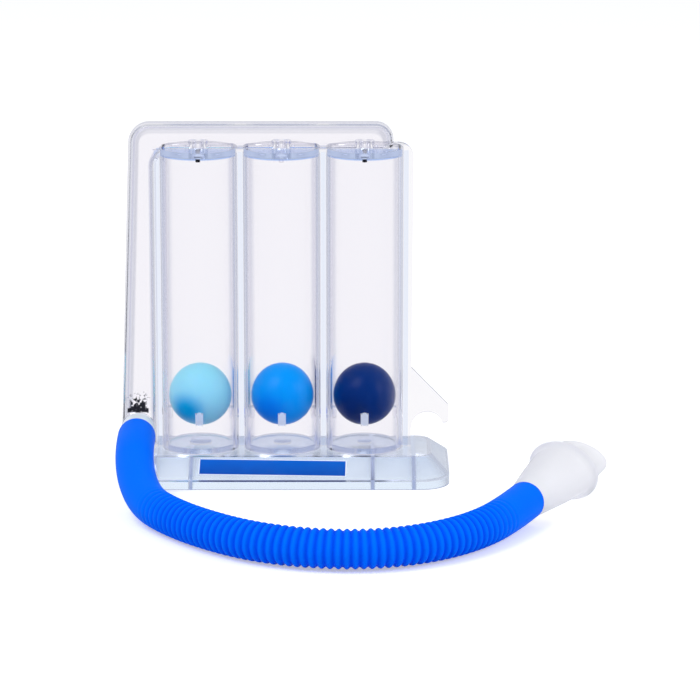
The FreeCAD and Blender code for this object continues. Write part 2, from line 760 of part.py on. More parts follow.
def make_mouthpiece():
    """Spigot, flared cone, lip guard and oval bite tube, bored through, plugged in the hose."""
    wall = "size.mouth_wall"
    spigot = "(size.hose_bore - size.spigot_gap)"
    lip = "(size.flare_length + size.lip_thickness)"
    end = f"({lip} + size.bite_length)"
    flare_end = ("size.flare_half_width", "size.flare_half_height", "size.flare_length")
    outside = [
        oval_stage("spigot_body", (spigot, spigot, "-size.spigot_length"), (spigot, spigot, "0")),
        oval_stage("flare_body", ("size.mouth_collar", "size.mouth_collar", "0"), flare_end),
        oval_stage(
            "lip_guard",
            ("size.lip_half_width", "size.lip_half_height", "size.flare_length"),
            ("size.lip_half_width", "size.lip_half_height", lip),
        ),
        oval_stage(
            "bite_body",
            ("size.bite_half_width", "size.bite_half_height", lip),
            ("size.bite_end_half_width", "size.bite_end_half_height", end),
        ),
    ]
    bite_start = (f"size.bite_half_width - {wall}", f"size.bite_half_height - {wall}")
    hollow = [
        oval_stage(
            "spigot_bore",
            ("size.mouth_bore", "size.mouth_bore", "-size.spigot_length"),
            ("size.mouth_bore", "size.mouth_bore", "0"),
        ),
        oval_stage("flare_bore", ("size.mouth_bore", "size.mouth_bore", "0"),
                   (*bite_start, "size.flare_length")),
        oval_stage("guard_bore", (*bite_start, "size.flare_length"), (*bite_start, lip)),
        oval_stage(
            "bite_bore",
            (*bite_start, lip),
            (f"size.bite_end_half_width - {wall}", f"size.bite_end_half_height - {wall}", end),
        ),
    ]
    shell = doc.addObject("Part::MultiFuse", "mouthpiece_outside")
    shell.Shapes = outside
    bore = doc.addObject("Part::MultiFuse", "mouthpiece_bore")
    bore.Shapes = hollow
    piece = doc.addObject("Part::Cut", "mouthpiece")
    piece.Base = shell
    piece.Tool = bore
    piece.Label = "mouthpiece"
    points = hose_points()
    heading = points[-1] - points[-2]
    piece.Placement = FreeCAD.Placement(points[-1], facing(heading, value("size.mouth_roll")))
    return piece


def facing(heading, roll):
    """Turn that points +Z along the heading with +X level, then rolls about the heading."""
    level = FreeCAD.Vector(0, 0, 1).cross(heading)
    level.normalize()
    up = heading.cross(level)
    aim = FreeCAD.Rotation(-level, -up, heading, "ZXY")
    return FreeCAD.Rotation(heading, roll) * aim


def check_and_write(pieces):
    doc.recompute()
    failed = [o.Name for o in doc.Objects if {"Invalid", "Error"} & set(o.State)]
    if failed:
        raise RuntimeError(f"not built: {failed}")
    os.makedirs("parts", exist_ok=True)
    for piece in pieces:
        shape = piece.Shape
        if shape.isNull() or not shape.isValid() or not shape.Solids:
            raise RuntimeError(f"{piece.Label} is not a sound solid")
        if not all(solid.isClosed() for solid in shape.Solids):
            raise RuntimeError(f"{piece.Label} is open")
    for piece in pieces:
        shape = piece.Shape
        box = shape.optimalBoundingBox(False, False)
        low, high = (box.XMin, box.YMin, box.ZMin), (box.XMax, box.YMax, box.ZMax)
        spans = [f"{a:.1f} to {b:.1f}" for a, b in zip(low, high)]
        print(piece.Label, "solids", len(shape.Solids), "volume", round(shape.Volume), spans)
        shape.exportStep(f"parts/{piece.Label}.step")


def ball_travel():
    """Height that a ball rises before it meets the stop pins."""
    inner_edge = "(size.stop_offset - size.stop_radius)"
    lowest = f"({CEILING} - size.stop_length)"
    drop = f"sqrt(pow(size.ball_radius; 2) - pow({inner_edge}; 2))"
    return value(f"{lowest} - {drop} - {BALL_REST}")


pieces = [
    make_shell("front_shell", -1),
    make_shell("back_shell", 1),
    make_base(),
    make_port(),
    make_ball("ball_pale_blue", 0),
    make_ball("ball_blue", 1),
    make_ball("ball_navy", 2),
    make_label(),
    make_hose(),
    make_mouthpiece(),
]
check_and_write(pieces)
print("ball rest height", round(value(BALL_REST), 3), "ball travel", round(ball_travel(), 3))
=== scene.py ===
import bpy
import bmesh
import json
import math
from mathutils import Matrix, Vector

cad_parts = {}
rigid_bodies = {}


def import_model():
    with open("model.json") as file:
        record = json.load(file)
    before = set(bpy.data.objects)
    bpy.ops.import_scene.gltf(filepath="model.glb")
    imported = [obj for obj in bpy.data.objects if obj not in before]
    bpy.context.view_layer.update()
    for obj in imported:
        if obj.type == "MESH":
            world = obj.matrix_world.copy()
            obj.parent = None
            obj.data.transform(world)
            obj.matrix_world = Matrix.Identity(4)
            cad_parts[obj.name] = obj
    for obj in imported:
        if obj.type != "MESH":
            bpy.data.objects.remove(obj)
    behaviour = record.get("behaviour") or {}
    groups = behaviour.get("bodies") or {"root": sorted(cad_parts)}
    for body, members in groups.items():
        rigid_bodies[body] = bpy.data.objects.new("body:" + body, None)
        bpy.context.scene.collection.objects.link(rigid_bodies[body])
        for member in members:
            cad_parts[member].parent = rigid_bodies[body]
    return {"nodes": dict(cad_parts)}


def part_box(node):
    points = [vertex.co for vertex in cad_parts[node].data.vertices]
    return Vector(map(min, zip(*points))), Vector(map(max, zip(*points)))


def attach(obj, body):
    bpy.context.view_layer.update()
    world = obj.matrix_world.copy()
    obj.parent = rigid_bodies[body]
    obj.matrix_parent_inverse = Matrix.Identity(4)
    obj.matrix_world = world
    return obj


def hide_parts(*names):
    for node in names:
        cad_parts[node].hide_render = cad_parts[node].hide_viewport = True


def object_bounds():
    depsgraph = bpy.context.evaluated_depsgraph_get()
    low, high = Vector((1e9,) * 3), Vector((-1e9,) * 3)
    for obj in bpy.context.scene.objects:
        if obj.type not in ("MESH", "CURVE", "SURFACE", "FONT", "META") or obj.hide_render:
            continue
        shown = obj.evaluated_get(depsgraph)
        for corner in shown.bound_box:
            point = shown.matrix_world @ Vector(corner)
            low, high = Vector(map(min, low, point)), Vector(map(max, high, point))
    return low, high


for leftOver in list(bpy.data.objects):
    bpy.data.objects.remove(leftOver)

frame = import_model()
nodes = frame["nodes"]
cadLow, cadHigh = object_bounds()
mm = 0.001
# a Mix node of kind RGBA keeps its colours on these sockets
firstColour, secondColour, mixedColour = 6, 7, 2
print("stage: frame loaded,", len(nodes), "nodes")


def toLinear(hexText):
    channels = [int(hexText[n:n + 2], 16) / 255 for n in (1, 3, 5)]
    linear = [c / 12.92 if c <= 0.04045 else ((c + 0.055) / 1.055) ** 2.4 for c in channels]
    return (*linear, 1.0)


def addNode(tree, kind, settings, inputs):
    node = tree.nodes.new(kind)
    for name, value in settings.items():
        setattr(node, name, value)
    for socket, value in inputs.items():
        if isinstance(value, bpy.types.NodeSocket):
            tree.links.new(value, node.inputs[socket])
        else:
            node.inputs[socket].default_value = value
    return node


def joinMasks(tree, operation, *masks):
    # MULTIPLY keeps what all of them cover, MAXIMUM what any covers, MINIMUM the nearest edge
    joined = masks[0]
    for mask in masks[1:]:
        joined = addNode(tree, "ShaderNodeMath", {"operation": operation}, {
            0: joined, 1: mask,
        }).outputs[0]
    return joined


def layTints(tree, colour, tints):
    # each tint covers the colour below it as far as its mask says
    for mask, tint in tints:
        colour = addNode(tree, "ShaderNodeMix", {"data_type": "RGBA"}, {
            "Factor": mask, firstColour: colour, secondColour: toLinear(tint),
        }).outputs[mixedColour]
    return colour


def fineGrain(tree, place, look):
    grain = addNode(tree, "ShaderNodeTexNoise", {}, {
        "Vector": place.outputs["Object"], "Scale": 1 / (look["grainMm"] * mm), "Detail": 2.0,
    })
    return addNode(tree, "ShaderNodeBump", {}, {
        "Height": grain.outputs["Fac"], "Distance": look["grainDepthMm"] * mm,
        "Strength": look["grainStrength"],
    })


def letLightPast(tree, plastic, shadowTint, ray, *others):
    # shadows and bounced light go straight through, and so do the other rays named
    passing = addNode(tree, "ShaderNodeBsdfTransparent", {}, {"Color": toLinear(shadowTint)})
    indirect = joinMasks(
        tree, "MAXIMUM", ray.outputs["Is Shadow Ray"], ray.outputs["Is Diffuse Ray"], *others,
    )
    return addNode(tree, "ShaderNodeMixShader", {}, {
        0: indirect, 1: plastic.outputs[0], 2: passing.outputs[0],
    })


def newMaterial(name):
    material = bpy.data.materials.new(name)
    material.use_nodes = True
    material.node_tree.nodes.clear()
    return material, material.node_tree


def wear(piece, material):
    piece.data.materials.clear()
    piece.data.materials.append(material)


def newPiece(name, shape):
    mesh = bpy.data.meshes.new(name)
    shape.to_mesh(mesh)
    shape.free()
    piece = bpy.data.objects.new(name, mesh)
    bpy.context.scene.collection.objects.link(piece)
    return piece


# the photograph's view: a long lens that looks down a little, square on to the tubes
cameraView = {
    "target": (26.2, 0.0, 49.9),
    "distance": 1500.0,
    "lookDown": 13.0,
    "pixelsPerMm": 2.5,
    "photoWidth": 700.0,
    "sensor": 36.0,
    "nearest": 0.05,
    "farthest": 20.0,
}


def placeCamera(view):
    down = math.radians(view["lookDown"])
    camera = bpy.data.objects.new("camera", bpy.data.cameras.new("camera"))
    bpy.context.scene.collection.objects.link(camera)
    offset = Vector((0, -math.cos(down), math.sin(down))) * view["distance"]
    camera.location = (Vector(view["target"]) + offset) * mm
    camera.rotation_euler = (math.pi / 2 - down, 0, 0)
    camera.data.sensor_width = view["sensor"]
    camera.data.lens = (
        view["sensor"] * view["pixelsPerMm"] * view["distance"] / view["photoWidth"]
    )
    camera.data.clip_start, camera.data.clip_end = view["nearest"], view["farthest"]
    bpy.context.scene.camera = camera


placeCamera(cameraView)
print("stage: camera placed")

# corrugated polythene hose: its ribs fade out into a smooth cuff at each end
hoseShape = {
    "route": [
        (-58.6, -16.0, 18.4), (-58.6, -36.0, 18.4), (-56.9, -57.5, 12.8), (-51.6, -78.0, 8.2),
        (-42.3, -95.5, 7.7), (-28.4, -114.0, 7.7), (-9.5, -131.4, 7.7), (13.5, -140.8, 7.7),
        (37.0, -141.2, 7.7), (58.6, -131.2, 7.7), (75.8, -113.6, 7.8), (87.4, -92.4, 8.4),
        (93.5, -79.4, 9.4),
    ],
    "radius": 7.5,
    "bore": 6.0,
    "ribPitch": 3.0,
    "ribDepth": 0.85,
    "ribPoints": 8,
    "valleyPower": 1.3,  # over 1 makes the valleys narrower than the crests
    "cuffAtPort": 70.0,
    "cuffAtMouth": 21.5,
    "fade": 22.0,
    "fadePower": 0.8,
    "rimRound": 0.5,
    "rimSteps": (0.0, 0.15, 0.5),
    "around": 64,
    "boreRings": 90,
    "lineSteps": 40,
}


def smoothLine(name, points, resolution):
    curve = bpy.data.curves.new(name, "CURVE")
    curve.dimensions = "3D"
    spline = curve.splines.new("NURBS")
    spline.points.add(len(points) - 1)
    for place, point in zip(spline.points, points):
        place.co = (*[c * mm for c in point], 1)
    spline.order_u = 3
    spline.use_endpoint_u = True
    spline.resolution_u = resolution
    holder = bpy.data.objects.new(name, curve)
    line = [v.co.copy() for v in bpy.data.meshes.new_from_object(holder).vertices]
    bpy.data.objects.remove(holder)
    return line


def lengthsAlong(line):
    lengths = [0.0]
    for before, after in zip(line, line[1:]):
        lengths.append(lengths[-1] + (after - before).length)
    return lengths


def ringPlaces(line, lengths, stops):
    # a place and two cross directions at each stop, carried along without twist
    places = []
    side = Vector((1, 0, 0))
    at = 0
    for stop in stops:
        while at < len(lengths) - 2 and lengths[at + 1] < stop:
            at += 1
        share = (stop - lengths[at]) / (lengths[at + 1] - lengths[at])
        low, high = line[max(at - 1, 0)], line[min(at + 2, len(line) - 1)]
        heading = (high - low).normalized()
        side = (side - heading * side.dot(heading)).normalized()
        places.append((line[at].lerp(line[at + 1], share), side, heading.cross(side)))
    return places


def hoseRadius(shape, stop, total):
    # crests are broad and round, valleys narrow, as a blown rib is
    into = min(stop - shape["cuffAtPort"], total - shape["cuffAtMouth"] - stop) / shape["fade"]
    strength = 0.0 if into <= 0 else min(into, 1.0) ** shape["fadePower"]
    wave = math.cos(2 * math.pi * stop / shape["ribPitch"])
    valleyDepthAndShade = (0.5 - 0.5 * wave) ** shape["valleyPower"]
    rim = shape["rimRound"]
    edge = min(stop, total - stop)
    rounding = rim - math.sqrt(max(rim ** 2 - (rim - edge) ** 2, 0)) if edge < rim else 0
    # the second value is how much painted shade the ring gets in its valley
    return shape["radius"] - shape["ribDepth"] * strength * valleyDepthAndShade - rounding, strength * valleyDepthAndShade


def skinLoops(mesh, loops):
    # faces from each loop of points to the next, and from the last back to the first
    for first, second in zip(loops, loops[1:] + loops[:1]):
        for n in range(len(first)):
            after = (n + 1) % len(first)
            mesh.faces.new((first[n], first[after], second[after], second[n])).smooth = True
    bmesh.ops.recalc_face_normals(mesh, faces=mesh.faces)


def buildHose(shape):
    line = smoothLine("hoseLine", shape["route"], shape["lineSteps"])
    lengths = lengthsAlong(line)
    total = lengths[-1] / mm
    count = round(total / (shape["ribPitch"] / shape["ribPoints"]))
    rim = shape["rimRound"]
    edge = [rim * share for share in shape["rimSteps"]]
    evenly = [total * n / count for n in range(count + 1)]
    stops = edge + [stop for stop in evenly if rim < stop < total - rim]
    stops += [total - e for e in reversed(edge)]
    inner = [total * n / shape["boreRings"] for n in range(shape["boreRings"], -1, -1)]
    rings = [hoseRadius(shape, stop, total) for stop in stops]
    # the bore inside gets the full painted valley shade
    rings += [(shape["bore"], 1.0) for stop in inner]
    places = ringPlaces(line, lengths, [stop * mm for stop in stops])
    places += ringPlaces(line, lengths, [stop * mm for stop in reversed(inner)])[::-1]
    mesh = bmesh.new()
    valleyShadeLayer = mesh.verts.layers.float.new("valleyDepthAndShade")
    loops = []
    for (radius, valleyDepthAndShade), (centre, side, up) in zip(rings, places):
        loop = []
        for n in range(shape["around"]):
            angle = 2 * math.pi * n / shape["around"]
            out = side * math.cos(angle) + up * math.sin(angle)
            vert = mesh.verts.new(centre + out * radius * mm)
            vert[valleyShadeLayer] = valleyDepthAndShade
            loop.append(vert)
        loops.append(loop)
    skinLoops(mesh, loops)
    return newPiece("corrugatedHose", mesh), line, total


hose, hoseLine, hoseLength = buildHose(hoseShape)
print("stage: hose built,", round(hoseLength, 1), "mm long")

# frosted low density polythene: spigot, flared body, lip guard and oval bite tube in one moulding
mouthShape = {
    "roll": 12.0,
    "around": 72,
    # place on the axis, half width, half height
    "outside": [
        (-11.0, 5.5, 5.5), (-10.6, 5.85, 5.85), (-10.0, 5.95, 5.95), (-0.02, 5.95, 5.95),
        (0.02, 6.9, 6.9), (0.35, 7.25, 7.25), (1.0, 7.5, 7.45), (7.0, 8.55, 7.9),
        (14.0, 9.7, 8.4), (21.0, 10.8, 8.9), (28.0, 11.7, 9.35), (34.0, 12.4, 9.7),
        (36.2, 12.9, 10.1), (37.0, 13.9, 10.95), (37.4, 14.4, 11.4), (38.0, 14.6, 11.6),
        (38.6, 14.4, 11.4), (39.0, 13.9, 10.9), (39.3, 12.6, 8.6), (40.2, 12.0, 7.6),
        (42.0, 11.9, 7.3), (48.0, 11.6, 6.8), (54.0, 11.35, 6.25), (56.0, 11.2, 6.05),
        (56.7, 10.95, 5.8), (57.0, 10.5, 5.35),
    ],
    "inside": [
        (57.0, 10.1, 4.9), (56.6, 9.75, 4.55), (50.0, 10.1, 5.0), (43.0, 10.4, 5.6),
        (38.0, 10.6, 6.2), (32.0, 9.9, 6.4), (23.0, 8.6, 6.1), (14.0, 7.2, 5.7),
        (5.0, 5.8, 5.2), (0.0, 4.8, 4.8), (-2.0, 4.6, 4.6), (-10.6, 4.6, 4.6),
        (-11.0, 4.9, 4.9),
    ],
}


def buildMouthpiece(shape, route):
    end, before = Vector(route[-1]), Vector(route[-2])
    heading = (end - before).normalized()
    level = Vector((0, 0, 1)).cross(heading).normalized()
    turn = Matrix.Rotation(math.radians(shape["roll"]), 3, heading)
    wide, high = turn @ level, turn @ heading.cross(level)
    mesh = bmesh.new()
    loops = []
    for along, halfWidth, halfHeight in shape["outside"] + shape["inside"]:
        loop = []
        for n in range(shape["around"]):
            angle = 2 * math.pi * n / shape["around"]
            across = wide * halfWidth * math.cos(angle) + high * halfHeight * math.sin(angle)
            loop.append(mesh.verts.new((end + heading * along + across) * mm))
        loops.append(loop)
    skinLoops(mesh, loops)
    return newPiece("frostedMouthpiece", mesh)


mouthpiece = buildMouthpiece(mouthShape, hoseShape["route"])
print("stage: mouthpiece built")

# the two shells are welded on the middle plane, so here they are one moulding with no inner skin
bodyShape = {
    "weldPlane": 0.0,
    "samePlace": 0.002,
    "standsOn": 10.5,
    "airGap": 0.03,  # keeps the body's foot from sharing a plane with the base
}


def buildBody(shape):
    close = shape["samePlace"] * mm
    places, indices, faces, normals = [], {}, [], []
    for name in ("front_shell", "back_shell"):
        half = nodes[name].data
        shared = []
        for vert in half.vertices:
            key = tuple(round(c / close) for c in vert.co)
            if key not in indices:
                indices[key] = len(places)
                lift = abs(vert.co.z - shape["standsOn"] * mm) < close
                places.append(vert.co + Vector((0, 0, shape["airGap"] * mm * lift)))
            shared.append(indices[key])
        onWeld = [abs(vert.co.y - shape["weldPlane"]) < close for vert in half.vertices]
        for face in half.polygons:
            corners = [shared[v] for v in face.vertices]
            inSkin = all(onWeld[v] for v in face.vertices)
            if not inSkin and len(set(corners)) == len(corners):
                faces.append(corners)
                normals += [half.corner_normals[loop].vector.copy() for loop in face.loop_indices]
    mesh = bpy.data.meshes.new("clearBody")
    mesh.from_pydata(places, [], faces)
    mesh.shade_smooth()
    mesh.normals_split_custom_set(normals)
    body = bpy.data.objects.new("clearBody", mesh)
    bpy.context.scene.collection.objects.link(body)
    print("clear body:", len(faces), "faces")
    return body


clearBody = buildBody(bodyShape)
print("stage: clear body welded")

# general purpose polystyrene, injection moulded: clear with a faint lilac cast where the light
# runs a long way inside it, a slightly uneven gloss from the mould, and few reflections
polystyreneLook = {
    "body": {
        "tint": "#FBFAFD", "cast": "#CACAD8", "density": 10.0, "smooth": 0.03, "dull": 0.08,
        "through": 1.0, "mostMirrored": 1.5,
    },
    "base": {
        "tint": "#DEE9F9", "cast": "#C0D0F6", "density": 22.0, "smooth": 0.15, "dull": 0.3,
        "through": 1.0, "mostMirrored": 0.5,
        "lipTint": "#E6F1FE", "lipHeight": 3.6, "lipSoft": 0.3,
        "topTint": "#F1F7FF", "topHeight": 10.2,
    },
    "port": {
        "tint": "#F4FAFF", "cast": "#C2C9E0", "density": 14.0, "smooth": 0.25, "dull": 0.4,
        "through": 0.12, "mostMirrored": 1.5,
    },
    "mostBounces": 8.0,
    "ior": 1.59,
    "mirror": 0.06,
    "wavinessMm": 9.0,
    "wavinessDepthMm": 0.012,
    "shadowTint": "#F8F9FC",
    # under the frosted lugs and the painted shade
    "coveredThrough": 0.15,
    "coveredDull": 0.45,
}

# where the body's plastic looks different, and how. Each tuple is a window on one axis in
# millimetres: its middle, half its width, and the soft edge beyond
bodyMarks = {
    "tubes": {"first": -33.8, "pitch": 32.9},
    "duct": {
        "side": -49.7, "floor": 133.0, "top": 142.4, "foot": -65.96, "lean": 0.0344,
        "end": 43.35, "cornerRadius": 8.5,
    },
    # painted shade: the duct's rounded rim is tinted lilac, standing in for the darker surroundings
    # seen through it at steep angles
    "rim": {"tint": "#EAEAF0", "width": 4.1, "soft": 0.4},
    # painted shade: faces of the duct turned away from the front get a lilac tint. How far a face
    # has to turn from the front to count as rounded
    "corner": {"tint": "#F0F0F6", "rounded": 0.94, "flat": 0.997},
    "web": {"tint": "#EAEFFB", "fromTube": 15.5, "top": 131.0, "across": (50.8, 0.5)},
    # painted shade: the caps get a deeper blue tint, standing in for the dark refraction seen
    # through them edge on
    "cap": {
        "tint": "#ABC3F2", "across": (49.0, 0.5), "depth": (-10.0, 5.4, 0.6),
        "height": (131.0, 1.5, 0.3),
    },
    # the lugs' faces are left frosted
    "lug": {
        "tint": "#F4FAFF", "across": (0.0, 1.42, 0.1), "depth": (12.35, 0.75, 0.1),
        "height": (24.65, 2.6, 0.1),
    },
    # painted shade: ragged dark specks over the port, a crown over a narrow ring, standing in for
    # the dark refraction there
    "paintedShade": {
        "tint": "#16171F", "grainMm": 1.2, "thinning": 0.045, "speck": (0.4, 0.48),
        "middle": -58.6, "foot": 29.4, "depth": (-6.0, 2.2, 0.2),
        "crownAcross": (2.6, 1.4), "crownHeight": (29.8, 2.8, 1.6),
        "ringAcross": (4.0, 0.5), "ringHeight": (26.3, 0.7, 0.5),
    },
    # painted shade: the stop pins of the first and last tube get the same dark tint
    "pin": {"across": (1.1, 0.1), "depth": (-5.0, 1.1, 0.1), "height": (128.4, 1.4, 0.1)},
}


def window(tree, value, middle, half, soft):
    # 1 within half of the middle, and softly down to 0 beyond
    away = addNode(tree, "ShaderNodeMath", {"operation": "SUBTRACT"}, {0: value, 1: middle * mm})
    far = addNode(tree, "ShaderNodeMath", {"operation": "ABSOLUTE"}, {0: away.outputs[0]})
    return addNode(tree, "ShaderNodeMapRange", {"interpolation_type": "SMOOTHSTEP"}, {
        "Value": far.outputs[0], "From Min": half * mm, "From Max": (half + soft) * mm,
        "To Min": 1.0, "To Max": 0.0,
    }).outputs["Result"]


# masks for the painted shade on the duct's rim and on its rounded corners
def ductMasks(tree, x, z, facing, marks):
    duct, rim, corner = marks["duct"], marks["rim"], marks["corner"]
    leg = addNode(tree, "ShaderNodeMath", {"operation": "LESS_THAN"}, {
        0: x, 1: duct["side"] * mm,
    })
    run = addNode(tree, "ShaderNodeMath", {"operation": "GREATER_THAN"}, {
        0: z, 1: duct["floor"] * mm,
    })
    inDuct = joinMasks(tree, "MAXIMUM", leg.outputs[0], run.outputs[0])
    toFront = addNode(tree, "ShaderNodeMath", {"operation": "ABSOLUTE"}, {0: facing})
    bentShade = addNode(tree, "ShaderNodeMapRange", {"interpolation_type": "SMOOTHSTEP"}, {
        "Value": toFront.outputs[0], "From Min": corner["rounded"], "From Max": corner["flat"],
        "To Min": 1.0, "To Max": 0.0,
    })
    # the rim is what lies far out from the middle of the duct's rounded corners
    leftEdge = addNode(tree, "ShaderNodeMath", {"operation": "MULTIPLY_ADD"}, {
        0: z, 1: duct["lean"], 2: duct["foot"] * mm,
    })
    fromLeft = addNode(tree, "ShaderNodeMath", {"operation": "SUBTRACT"}, {
        0: x, 1: leftEdge.outputs[0],
    })
    fromRight = addNode(tree, "ShaderNodeMath", {"operation": "SUBTRACT"}, {
        0: duct["end"] * mm, 1: x,
    })
    inside = joinMasks(tree, "MINIMUM", fromLeft.outputs[0], fromRight.outputs[0])
    radius = duct["cornerRadius"]
    sideways = addNode(tree, "ShaderNodeMath", {"operation": "SUBTRACT"}, {
        0: radius * mm, 1: inside,
    })
    upward = addNode(tree, "ShaderNodeMath", {"operation": "SUBTRACT"}, {
        0: z, 1: (duct["top"] - radius) * mm,
    })
    outward = addNode(tree, "ShaderNodeCombineXYZ", {}, {
        0: joinMasks(tree, "MAXIMUM", sideways.outputs[0], 0.0),
        1: joinMasks(tree, "MAXIMUM", upward.outputs[0], 0.0),
    })
    reach = addNode(tree, "ShaderNodeVectorMath", {"operation": "LENGTH"}, {
        0: outward.outputs[0],
    })
    inShadedRim = addNode(tree, "ShaderNodeMapRange", {"interpolation_type": "SMOOTHSTEP"}, {
        "Value": reach.outputs["Value"],
        "From Min": (radius - rim["width"] - rim["soft"]) * mm,
        "From Max": (radius - rim["width"] + rim["soft"]) * mm,
    })
    return (
        joinMasks(tree, "MULTIPLY", inDuct, inShadedRim.outputs["Result"]),
        joinMasks(tree, "MULTIPLY", inDuct, bentShade.outputs["Result"]),
    )


def portShadeMask(tree, place, x, y, z, paintedShade):
    grain = addNode(tree, "ShaderNodeTexNoise", {}, {
        "Vector": place.outputs["Object"], "Scale": 1 / (paintedShade["grainMm"] * mm), "Detail": 3.0,
    })
    # denser below, thinning out into prongs above
    drop = addNode(tree, "ShaderNodeMath", {"operation": "SUBTRACT"}, {
        0: paintedShade["foot"] * mm, 1: z,
    })
    fill = addNode(tree, "ShaderNodeMath", {"operation": "MULTIPLY_ADD"}, {
        0: drop.outputs[0], 1: paintedShade["thinning"] / mm, 2: grain.outputs["Fac"],
    })
    bare, full = paintedShade["speck"]
    specks = addNode(tree, "ShaderNodeMapRange", {}, {
        "Value": fill.outputs[0], "From Min": bare, "From Max": full,
    })
    crown, ring = [
        joinMasks(
            tree, "MULTIPLY", window(tree, x, paintedShade["middle"], *paintedShade[f"{part}Across"]),
            window(tree, z, *paintedShade[f"{part}Height"]),
        )
        for part in ("crown", "ring")
    ]
    return joinMasks(
        tree, "MULTIPLY", joinMasks(tree, "MAXIMUM", crown, ring), specks.outputs["Result"],
        window(tree, y, *paintedShade["depth"]),
    )


def findMarks(tree, place, marks):
    # a mask for each mark, in the order in which their tints are laid
    x, y, z = addNode(tree, "ShaderNodeSeparateXYZ", {}, {0: place.outputs["Object"]}).outputs
    facing = addNode(tree, "ShaderNodeSeparateXYZ", {}, {0: place.outputs["Normal"]})
    rimShade, corners = ductMasks(tree, x, z, facing.outputs["Y"], marks)
    tubes, web, cap, lug, pin = [marks[name] for name in ("tubes", "web", "cap", "lug", "pin")]
    middleTube = tubes["first"] + tubes["pitch"]
    shifted = addNode(tree, "ShaderNodeMath", {"operation": "SUBTRACT"}, {
        0: x, 1: tubes["first"] * mm,
    })
    fromTube = addNode(tree, "ShaderNodeMath", {"operation": "PINGPONG"}, {
        0: shifted.outputs[0], 1: tubes["pitch"] * mm / 2,
    }).outputs[0]
    depth = addNode(tree, "ShaderNodeMath", {"operation": "ABSOLUTE"}, {0: y}).outputs[0]
    lugs = joinMasks(
        tree, "MULTIPLY", window(tree, fromTube, *lug["across"]),
        window(tree, z, *lug["height"]), window(tree, depth, *lug["depth"]),
    )
    paintedCapShade = joinMasks(
        tree, "MULTIPLY", window(tree, x, middleTube, *cap["across"]),
        window(tree, z, *cap["height"]), window(tree, y, *cap["depth"]),
    )
    between = addNode(tree, "ShaderNodeMath", {"operation": "GREATER_THAN"}, {
        0: fromTube, 1: web["fromTube"] * mm,
    })
    below = addNode(tree, "ShaderNodeMath", {"operation": "LESS_THAN"}, {
        0: z, 1: web["top"] * mm,
    })
    webs = joinMasks(
        tree, "MULTIPLY", between.outputs[0], below.outputs[0],
        window(tree, x, middleTube, *web["across"]),
    )
    aside = addNode(tree, "ShaderNodeMath", {"operation": "SUBTRACT"}, {
        0: x, 1: middleTube * mm,
    })
    apart = addNode(tree, "ShaderNodeMath", {"operation": "ABSOLUTE"}, {0: aside.outputs[0]})
    pins = joinMasks(
        tree, "MULTIPLY", window(tree, apart.outputs[0], tubes["pitch"], *pin["across"]),
        window(tree, y, *pin["depth"]), window(tree, z, *pin["height"]),
    )
    # painted shade: the dark specks over the port and the dark pins share one tint
    dark = joinMasks(tree, "MAXIMUM", portShadeMask(tree, place, x, y, z, marks["paintedShade"]), pins)
    return {"rim": rimShade, "corner": corners, "web": webs, "cap": paintedCapShade, "lug": lugs, "paintedShade": dark}


